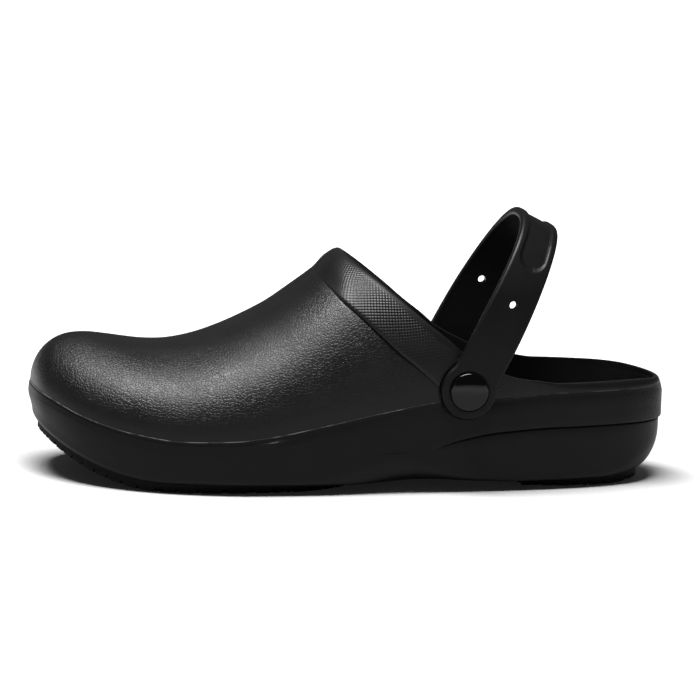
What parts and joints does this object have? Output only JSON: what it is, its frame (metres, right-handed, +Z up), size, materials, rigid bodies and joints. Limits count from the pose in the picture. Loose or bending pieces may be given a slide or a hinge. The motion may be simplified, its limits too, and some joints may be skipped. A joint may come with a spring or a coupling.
{
  "type": "chef clog",
  "caption": "Left foam clog with a closed toe, padded collar, open low heel, swinging heel strap on two rivets and a lugged rubber sole.",
  "frame": {"origin": "on the floor under the middle of the shoe's box", "axes": "+X from the toe to the heel, +Y towards the inner side of the foot, +Z up"},
  "size_m": [0.29, 0.1082, 0.1224],
  "materials": {
    "upper_foam": "black moulded foam, leather-like grain on the vamp, satin",
    "sole_foam": "black moulded foam, smooth, matte",
    "insole_foam": "black soft foam, matte",
    "tread_rubber": "black rubber, dull",
    "strap_foam": "black moulded foam, satin",
    "rivet_plastic": "black plastic, glossy"
  },
  "bodies": {
    "root": {"upper": "upper_foam", "sole": "sole_foam", "insole": "insole_foam", "forefoot_tread": "tread_rubber", "heel_tread": "tread_rubber", "strap": "strap_foam", "rivet_outer": "rivet_plastic", "rivet_inner": "rivet_plastic"}
  },
  "joints": []
}
